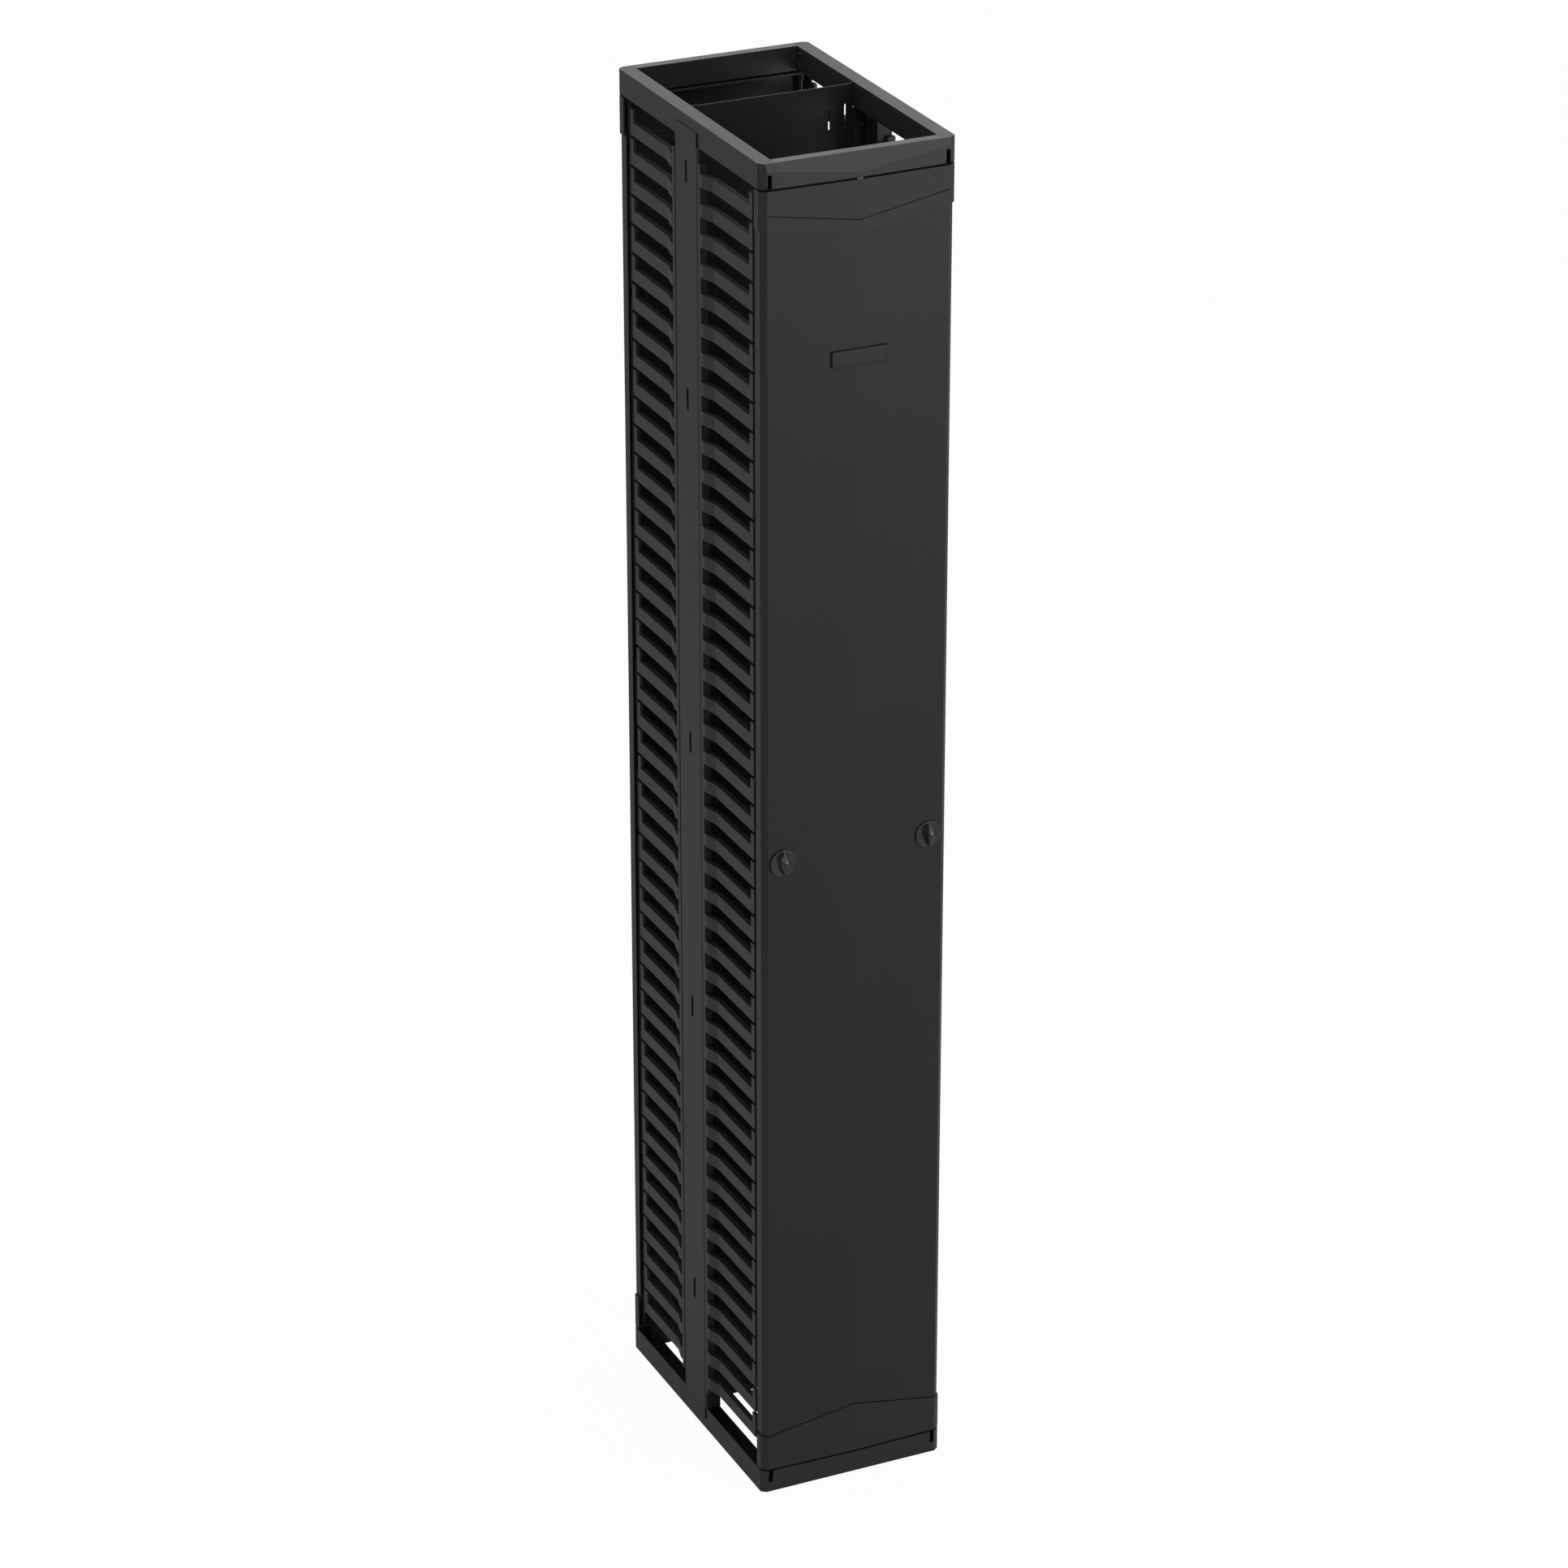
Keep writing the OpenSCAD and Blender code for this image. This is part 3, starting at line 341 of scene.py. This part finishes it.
def dress_cad():
    """Gives every solid of the source the finish of its slot."""
    finishes = {
        "frame_coat": powder_coat(
            "frame powder coat", (0.024, 0.0249, 0.0246), (0.032, 0.0333, 0.0327)),
        # Set darker than the frame and door coats: painted shade for the inside of the frame.
        "panel_coat": powder_coat(
            "panel powder coat", (0.018, 0.0186, 0.0184), (0.025, 0.0258, 0.0255), rough=0.46),
        "door_coat": powder_coat(
            "door powder coat", (0.026, 0.0269, 0.0265), (0.032, 0.0332, 0.0326)),
        "cap_moulding": moulding(
            "cap moulding", (0.0285, 0.0295, 0.029), (0.0345, 0.0358, 0.0352), rough=0.36),
        "fascia_moulding": moulding(
            "fascia moulding", (0.032, 0.0331, 0.0326), (0.038, 0.0394, 0.0388), rough=0.3),
        # The fingers' darker colour for the faces that look up is painted shade.
        "finger_moulding": finger_moulding(
            "finger moulding", shaded_top_colour=(0.009, 0.0092, 0.0091),
            dark=(0.036, 0.0368, 0.0365), light=(0.046, 0.0472, 0.0468)),
        "black_moulding": moulding(
            "black nylon", (0.008, 0.008, 0.008), (0.014, 0.014, 0.014), rough=0.5),
        "knob": polished_moulding(
            "knob moulding", (0.013, 0.0136, 0.0133), (0.018, 0.0188, 0.0184)),
        "latch_steel": black_zinc("black zinc plate"),
        "washer": moulding(
            "washer nylon", (0.012, 0.012, 0.012), (0.02, 0.02, 0.02), rough=0.45),
        # Near-black, so that its rim beside the badge face reads as the badge's shadow: painted
        # shadow.
        "badge": moulding(
            "badge backing", (0.004, 0.004, 0.004), (0.006, 0.006, 0.006), rough=0.6),
        "screw": black_oxide("black oxide"),
    }
    for part in frame["record"]["subparts"]:
        node = NODES[part["node"]]
        node.data.materials.clear()
        node.data.materials.append(finishes[part["material_slot"]])
    return finishes


# ---------- modelling steps ----------

def select_only(piece):
    bpy.ops.object.select_all(action="DESELECT")
    piece.select_set(True)
    bpy.context.view_layer.objects.active = piece


def fresh_box(name, low, high):
    """A block between two corners, in object mode and alone selected."""
    bpy.ops.object.select_all(action="DESELECT")
    middle = [(a + b) / 2 for a, b in zip(low, high)]
    size = [b - a for a, b in zip(low, high)]
    bpy.ops.mesh.primitive_cube_add(size=1.0, location=middle)
    block = bpy.context.object
    block.name = name
    block.scale = size
    bpy.ops.object.transform_apply(location=True, rotation=True, scale=True)
    return block


def fresh_round(name, radius, front, back, x, z, sides):
    """A cylinder lying along Y, left in edit mode with all of its points selected."""
    bpy.ops.object.select_all(action="DESELECT")
    bpy.ops.mesh.primitive_cylinder_add(
        vertices=sides, radius=radius, depth=back - front,
        location=(x, (front + back) / 2, z), rotation=(math.pi / 2, 0.0, 0.0),
    )
    blank = bpy.context.object
    blank.name = name
    bpy.ops.object.transform_apply(location=True, rotation=True, scale=True)
    bpy.ops.object.mode_set(mode="EDIT")
    bpy.ops.mesh.select_mode(type="VERT")
    return blank


def pick_faces(piece, wanted):
    """Opens a piece for editing with the wanted faces selected."""
    bpy.ops.object.mode_set(mode="EDIT")
    bpy.ops.mesh.select_mode(type="FACE")
    bpy.ops.mesh.select_all(action="DESELECT")
    mesh = bmesh.from_edit_mesh(piece.data)
    for face in mesh.faces:
        face.select = wanted(face)
    bmesh.update_edit_mesh(piece.data)


def pick_points(piece, wanted):
    """Selects the wanted points of a piece that is open for editing."""
    mesh = bmesh.from_edit_mesh(piece.data)
    for point in mesh.verts:
        point.select = wanted(point.co)
    mesh.select_flush(True)
    bmesh.update_edit_mesh(piece.data)


def looks_forward(face):
    return face.normal.y < -0.9


def lies_at(y):
    """Tells the points whose Y is within a tenth of a millimetre of a value."""
    return lambda co: abs(co.y - y) < 0.1 * MM


def soften(piece, width):
    """Rounds all edges of a piece and shades it smooth."""
    mod = piece.modifiers.new("edges", "BEVEL")
    mod.width = width
    mod.segments = 2
    mod.limit_method = "ANGLE"
    bpy.context.view_layer.objects.active = piece
    bpy.ops.object.modifier_apply(modifier=mod.name)
    bpy.ops.object.select_all(action="DESELECT")
    piece.select_set(True)
    bpy.ops.object.shade_smooth_by_angle(angle=math.radians(35.0))


def turned_copy(piece, name):
    """A copy of its own, turned half round about Z: front to rear and left to right."""
    select_only(piece)
    bpy.ops.object.duplicate()
    twin = bpy.context.object
    twin.name = name
    twin.scale = (-1.0, -1.0, 1.0)
    bpy.ops.object.transform_apply(location=False, rotation=False, scale=True)
    return twin


def dress(piece, material, body):
    piece.data.materials.clear()
    piece.data.materials.append(material)
    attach(piece, body)


# ---------- badge, stop pads and slit shade sheets ---

def badge_face(finishes):
    """The blank face of the badge: a shallow dished plate on the black backing, whose rim stays in
    sight on the left and top as a painted shadow line.
    """
    proud, sunk = 0.45 * MM, 0.05 * MM
    # The black backing stays in sight wide on the left and top, thin on the right and bottom:
    # painted shadow.
    shadow_rim, thin_edge = 0.9 * MM, 0.1 * MM  # how much of the backing stays in sight
    rim, dish, round_off = 1.1 * MM, 0.12 * MM, 0.12 * MM
    low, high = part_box("front_badge_plate")
    plate = fresh_box(
        "front_badge_face",
        (low.x + shadow_rim, low.y - proud, low.z + thin_edge),
        (high.x - thin_edge, low.y + sunk, high.z - shadow_rim),
    )
    pick_faces(plate, looks_forward)
    bpy.ops.mesh.inset(thickness=rim)
    bpy.ops.transform.translate(value=(0.0, dish, 0.0))
    bpy.ops.object.mode_set(mode="OBJECT")
    soften(plate, round_off)
    dress(plate, finishes["door_coat"], "front_door")


def stop_pads():
    """Small pads on the centre stops: pale above each door, black below it."""
    proud, sunk, round_off = 0.02 * MM, 0.9 * MM, 0.3 * MM
    pale = moulding("stop pad rubber", (0.16, 0.16, 0.155), (0.2, 0.2, 0.195), rough=0.6)
    black = gap_shade_rubber("stop rubber")
    for end, out in (("front", -1.0), ("rear", 1.0)):
        for cap in ("top", "bottom"):
            low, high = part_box(f"{end}_door_{cap}_cap")
            if cap == "top":
                finish, half, rise, foot = pale, 4.4 * MM, 1.95 * MM, high.z - 2.2 * MM
            else:
                finish, half, rise, foot = black, 5.3 * MM, 2.95 * MM, low.z - 0.05 * MM
            face = low.y if out < 0 else high.y
            near, far = sorted((face + out * proud, face - out * sunk))
            pad = fresh_box(f"{end}_{cap}_stop_pad", (-half, near, foot), (half, far, foot + rise))
            soften(pad, round_off)
            dress(pad, finish, f"{end}_door")


def slit_shade_sheets():
    """Near-black strips inside the hollow beams, behind the relief slits beside the posts: painted
    shade for the dark inside of the slits.
    """
    sheet, slit_in, play, lift = 1.9 * MM, 3.5 * MM, 0.05 * MM, 1.0 * MM
    thick, half, tall, round_off = 1.6 * MM, 3.0 * MM, 20.0 * MM, 0.3 * MM
    shade_sheet = gap_shade_rubber("slit foam")
    post_low, post_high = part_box("right_post")
    for level, beam in (("top", "top_right_beam"), ("base", "base_right_beam")):
        low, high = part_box(beam)
        wall = high.x - sheet
        foot = low.z + lift if level == "top" else high.z - tall - lift
        for k, y in enumerate((post_low.y + slit_in, post_high.y - slit_in)):
            strip = fresh_box(
                f"{level}_right_foam_{k + 1}",
                (wall - thick, y - half, foot),
                (wall - play, y + half, foot + tall),
            )
            soften(strip, round_off)
            twin = turned_copy(strip, f"{level}_left_foam_{k + 1}")
            dress(strip, shade_sheet, "frame")
            dress(twin, shade_sheet, "frame")


# ---------- knobs ----------

def knob_grip(x, base, z):
    """The turning grip: leaning sides rolled over into a crest, arched and pointed at both ends."""
    section = (  # half width and height in mm, from the foot to the crest
        (8.5, 0.0), (7.4, 2.6), (6.3, 5.2), (5.2, 7.8), (4.3, 9.9),
        (3.4, 11.0), (2.35, 11.62), (1.2, 11.93), (0.0, 12.0),
    )
    long_half, tall, sunk = 18.9, 12.0, 0.3
    sides, rings = 32, 16
    least_width, least_height = 0.08, 0.04  # shares of the section left at the pointed ends
    near, rim, merge = 0.004, 0.99, 0.0005
    centre = (0.0, 0.0, 0.0)
    crown = (long_half ** 2 + tall ** 2) / (2 * tall)
    bpy.ops.object.select_all(action="DESELECT")
    bpy.ops.mesh.primitive_cylinder_add(vertices=sides, radius=1.0, depth=2.0, location=centre)
    grip = bpy.context.object
    bpy.ops.object.mode_set(mode="EDIT")
    bpy.ops.mesh.select_mode(type="EDGE")
    bpy.ops.mesh.select_all(action="DESELECT")
    mesh = bmesh.from_edit_mesh(grip.data)
    for edge in mesh.edges:
        edge.select = abs(edge.verts[0].co.z - edge.verts[1].co.z) > 1.0
    bmesh.update_edit_mesh(grip.data)
    bpy.ops.mesh.subdivide(number_cuts=rings - 1)
    bpy.ops.mesh.select_mode(type="VERT")
    pick_points(grip, lambda co: co.y > near)
    bpy.ops.transform.resize(value=(1.0, 0.0, 1.0), center_override=centre)
    for k, (wide, high) in enumerate(section):
        angle = math.radians(360.0 / sides * k)
        level = -math.sin(angle)
        pick_points(grip, lambda co: abs(co.y - level) < near and co.x ** 2 + co.y ** 2 > rim)
        bpy.ops.transform.resize(
            value=(wide / max(math.cos(angle), 0.01), high / max(math.sin(angle), 0.01), 1.0),
            center_override=centre,
        )
    for k in range(rings + 1):
        start = 2.0 * k / rings - 1.0
        along = math.sin(start * math.pi / 2)
        width = max(1.0 - along ** 2, least_width)
        arch = (math.sqrt(crown ** 2 - (long_half * along) ** 2) - crown + tall) / tall
        height = max(arch, least_height)
        pick_points(grip, lambda co: abs(co.z - start) < near)
        bpy.ops.transform.resize(value=(width, height, 1.0), center_override=centre)
        bpy.ops.transform.translate(value=(0.0, 0.0, long_half * along - start))
    pick_points(grip, lambda co: co.y > -near)
    bpy.ops.transform.translate(value=(0.0, sunk, 0.0))
    bpy.ops.mesh.select_all(action="SELECT")
    bpy.ops.mesh.remove_doubles(threshold=merge)
    bpy.ops.mesh.normals_make_consistent(inside=False)
    bpy.ops.transform.resize(value=(MM, MM, MM), center_override=centre)
    bpy.ops.transform.translate(value=(x, base, z))
    bpy.ops.object.mode_set(mode="OBJECT")
    return grip


def knob_disc(x, z, front, back, radius, dish):
    """The knob's disc: a rounded rim round a slightly sunk face."""
    rim_round, rim = 1.1 * MM, 0.9 * MM
    least_face = 1e-4  # square metres, so that the rim's own facets stay out
    disc = fresh_round("disc", radius, front, back, x, z, sides=96)
    pick_points(disc, lies_at(front))
    bpy.ops.mesh.bevel(offset=rim_round, segments=5, affect="EDGES")
    bpy.ops.object.mode_set(mode="OBJECT")
    pick_faces(disc, lambda face: looks_forward(face) and face.calc_area() > least_face)
    bpy.ops.mesh.inset(thickness=rim)
    bpy.ops.transform.translate(value=(0.0, dish, 0.0))
    bpy.ops.object.mode_set(mode="OBJECT")
    return disc


def knob_shaft(x, z, front, back):
    radius, round_off = 5.0 * MM, 0.3 * MM
    shaft = fresh_round("shaft", radius, front, back, x, z, sides=48)
    pick_points(shaft, lies_at(back))
    bpy.ops.mesh.bevel(offset=round_off, segments=2, affect="EDGES")
    bpy.ops.object.mode_set(mode="OBJECT")
    return shaft


def turning_knobs(finishes):
    """The four latch knobs: a rounded disc with its grip, the shaft and its square drive."""
    grip_tall, disc_thick, dish = 12.0 * MM, 3.0 * MM, 0.25 * MM
    drive_long, drive_half, drive_round = 4.7 * MM, 2 * MM, 0.2 * MM
    shaft_root, drive_root = 0.5 * MM, 1 * MM  # how deep each sits in the piece before it
    low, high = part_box("front_left_knob")
    x, z = (low.x + high.x) / 2, (low.z + high.z) / 2
    front = low.y + grip_tall
    back = front + disc_thick
    shaft_end = high.y - drive_long
    disc = knob_disc(x, z, front, back, high.x - x, dish)
    shaft = knob_shaft(x, z, back - shaft_root, shaft_end)
    drive = fresh_box(
        "drive",
        (x - drive_half, shaft_end - drive_root, z - drive_half),
        (x + drive_half, high.y, z + drive_half),
    )
    soften(drive, drive_round)
    grip = knob_grip(x, front + dish, z)
    bpy.ops.object.select_all(action="DESELECT")
    for part in (disc, shaft, drive, grip):
        part.select_set(True)
    bpy.context.view_layer.objects.active = disc
    bpy.ops.object.join()
    bpy.ops.object.shade_smooth_by_angle(angle=math.radians(32.0))
    for end, turn in (("front", 1.0), ("rear", -1.0)):
        for side in ("left", "right"):
            node = f"{end}_{side}_knob"
            knob = disc
            if node != "front_left_knob":
                there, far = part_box(node)
                select_only(disc)
                bpy.ops.object.duplicate()
                knob = bpy.context.object
                knob.scale = (turn, turn, 1.0)
                knob.location = ((there.x + far.x) / 2 - turn * x, 0.0, 0.0)
                bpy.ops.object.transform_apply(location=True, rotation=True, scale=True)
            knob.name = f"{end}_{side}_turning_knob"
            dress(knob, finishes["knob"], node)
            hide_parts(node)


# ---------- near-black strips in the joints of the doors, painted shade ---

def prow_path(half, inset, wrap):
    """Plan points of the right half of a door's outline, crease first, set back by an inset."""
    corner_in, corner_back, facet_deep = 10.3 * MM, 3.2 * MM, 7.8 * MM
    low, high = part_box("front_door_top_cap")
    crease = Vector((0.0, low.y))
    corner = Vector((high.x - corner_in, low.y + corner_back))
    side = Vector((half, corner.y + facet_deep))
    back = Vector((half, side.y + wrap))
    points = [crease, corner, side, back]
    legs = [(b - a).normalized() for a, b in zip(points, points[1:])]
    inward = [Vector((-leg.y, leg.x)) for leg in legs]
    moved = [crease + inset * inward[0]]
    for point, one, two in zip(points[1:], inward, inward[1:]):
        moved.append(point + inset * (one + two) / (1.0 + one.dot(two)))
    moved.append(back + inset * inward[-1])
    return moved


def swept_strip(name, outer, inner, lows, tall):
    """A strip drawn station by station along two plan paths, at its own height at each."""
    bpy.ops.object.select_all(action="DESELECT")
    middle = (outer[0] + inner[0]) / 2
    bpy.ops.mesh.primitive_plane_add(
        size=1.0, location=(*middle, lows[0] + tall / 2), rotation=(0.0, math.pi / 2, 0.0)
    )
    strip = bpy.context.object
    strip.name = name
    strip.scale = (tall, (inner[0] - outer[0]).length, 1.0)
    bpy.ops.object.transform_apply(location=True, rotation=True, scale=True)
    bpy.ops.object.mode_set(mode="EDIT")
    bpy.ops.mesh.select_mode(type="VERT")
    bpy.ops.mesh.select_all(action="SELECT")
    for k in range(1, len(outer)):
        step = outer[k] - outer[k - 1]
        turn = (inner[k] - inner[k - 1]) - step
        bpy.ops.mesh.extrude_region_move(
            TRANSFORM_OT_translate={"value": (step.x, step.y, lows[k] - lows[k - 1])}
        )
        mesh = bmesh.from_edit_mesh(strip.data)
        tip = [v.index for v in mesh.verts if v.select]
        was_inner = inner[k] - turn
        for v in mesh.verts:
            v.select = v.select and (v.co.xy - outer[k]).length > (v.co.xy - was_inner).length
        mesh.select_flush_mode()
        bmesh.update_edit_mesh(strip.data)
        bpy.ops.transform.translate(value=(turn.x, turn.y, 0.0))
        mesh = bmesh.from_edit_mesh(strip.data)
        mesh.verts.ensure_lookup_table()
        for index in tip:
            mesh.verts[index].select = True
        mesh.select_flush(True)
        bmesh.update_edit_mesh(strip.data)
    bpy.ops.mesh.select_all(action="SELECT")
    bpy.ops.mesh.normals_make_consistent(inside=False)
    bpy.ops.object.mode_set(mode="OBJECT")
    return strip


def add_left_half(strip):
    """Adds the mirrored left half to a strip made on the right."""
    select_only(strip)
    bpy.ops.object.duplicate()
    other = bpy.context.object
    other.scale = (-1.0, 1.0, 1.0)
    bpy.ops.object.transform_apply(location=False, rotation=False, scale=True)
    bpy.ops.object.mode_set(mode="EDIT")
    bpy.ops.mesh.select_all(action="SELECT")
    bpy.ops.mesh.normals_make_consistent(inside=False)
    bpy.ops.object.mode_set(mode="OBJECT")
    strip.select_set(True)
    bpy.context.view_layer.objects.active = strip
    bpy.ops.object.join()


def gap_shade_strips(door_top, door_foot, gap):
    """Near-black strips in the gaps above and below the front door, one on each side of the stop;
    their black is painted shade for the dark gaps.
    """
    outer_in, inner_in, wrap = 0.5 * MM, 2.9 * MM, 10.0 * MM
    over_door, over_base, play = 0.2 * MM, 0.3 * MM, 0.5 * MM
    past_stop = Vector((5.2 * MM, 0.0))
    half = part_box("front_door_top_cap")[1].x
    gap_strips = []
    for name, low in (
        ("top_gap_shade_strip", door_top + over_door),
        ("bottom_gap_shade_strip", door_foot - gap + over_base),
    ):
        outer = prow_path(half, outer_in, wrap)
        inner = prow_path(half, inner_in, wrap)
        outer[0] += past_stop
        inner[0] += past_stop
        gap_strips.append(swept_strip(f"front_{name}", outer, inner, [low] * len(outer), gap - play))
    return gap_strips


def low_seam(door_foot):
    """The strip in the V-shaped joint between the front door's panel and its bottom cap; its black
    is painted shade for the shadow in this joint.
    """
    outer_in, inner_in, wrap, tall = 0.3 * MM, 1.45 * MM, 9.0 * MM, 1.8 * MM
    cap_side, v_rise, lift = 57.0 * MM, 24.9 * MM, 0.1 * MM
    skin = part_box("front_door_panel")[1].x
    seam = door_foot + cap_side + lift
    return swept_strip(
        "front_low_seam_strip",
        prow_path(skin, outer_in, wrap), prow_path(skin, inner_in, wrap),
        [seam + v_rise, seam, seam, seam], tall,
    )


def top_line(door_top):
    """The strip under the V-shaped edge of the front door's top cap; its black is painted shade for
    the shadow under that edge.
    """
    outer_in, inner_in, tall = 0.2 * MM, 0.95 * MM, 1.1 * MM
    cap_side, v_drop, under = 34.5 * MM, 23.5 * MM, 1.15 * MM
    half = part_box("front_door_top_cap")[1].x
    line = door_top - cap_side - under
    return swept_strip(
        "front_top_line_strip",
        prow_path(half, outer_in, 0.0)[:2], prow_path(half, inner_in, 0.0)[:2],
        [line - v_drop, line], tall,
    )


def shade_strips():
    """Near-black strips in the joints of both doors: the gap strips, the low seam and the top line;
    their black is painted shade for the shadow in these joints.
    """
    # Near-black, so that the joints read dark: painted shade.
    rubber = gap_shade_rubber("joint rubber")
    gap = 3.3 * MM
    door_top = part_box("top_front_fascia")[0].z - gap
    door_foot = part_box("base_front_fascia")[1].z + gap
    for strip in (*gap_shade_strips(door_top, door_foot, gap), low_seam(door_foot), top_line(door_top)):
        add_left_half(strip)
        twin = turned_copy(strip, strip.name.replace("front", "rear"))
        dress(strip, rubber, "front_door")
        dress(twin, rubber, "rear_door")


place_camera()
lay_floor()
light_studio()
finishes = dress_cad()
badge_face(finishes)
stop_pads()
shade_strips()
slit_shade_sheets()
turning_knobs(finishes)
